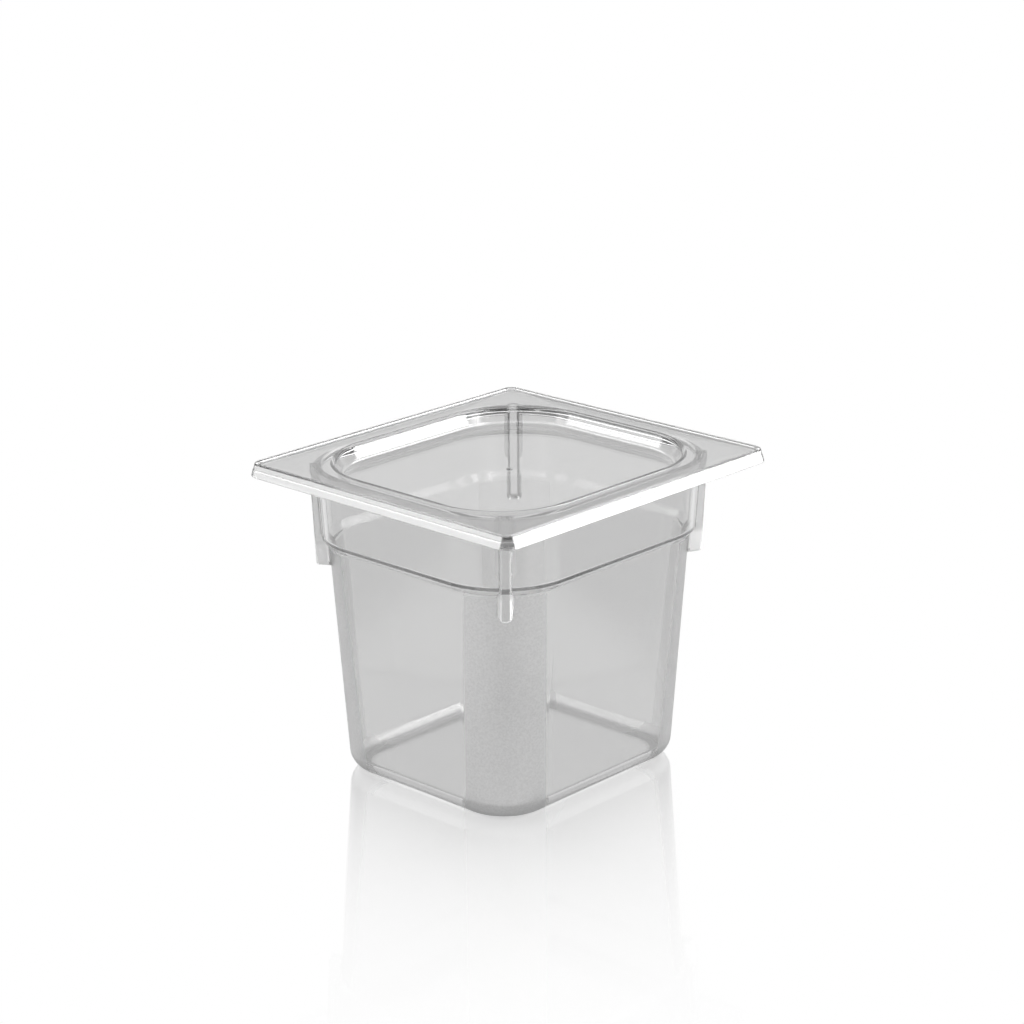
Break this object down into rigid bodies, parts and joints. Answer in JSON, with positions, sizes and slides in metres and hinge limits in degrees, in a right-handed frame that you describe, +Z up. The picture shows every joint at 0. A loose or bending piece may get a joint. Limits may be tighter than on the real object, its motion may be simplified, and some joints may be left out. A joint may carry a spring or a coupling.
{
  "type": "deli food pan with lid",
  "caption": "Clear plastic tapered food pan with a flat flange, stacking shoulder and corner lugs, under a recessed lift-off lid.",
  "frame": {"origin": "centre of the pan's underside, on the surface it stands on", "axes": "+Z up, out of the pan's mouth; +X along the long side of the flange"},
  "size_m": [0.176, 0.162, 0.148],
  "materials": {
    "pan_plastic": "clear, gloss, with satin corners",
    "lid_plastic": "clear, gloss"
  },
  "bodies": {
    "pan": {"pan": "pan_plastic"},
    "lid": {"lid": "lid_plastic"}
  },
  "joints": [
    {"name": "lid_lift", "type": "slide", "parent": "pan", "child": "lid", "axis": [0, 0, 1], "range_m": [0, 0.12]}
  ]
}
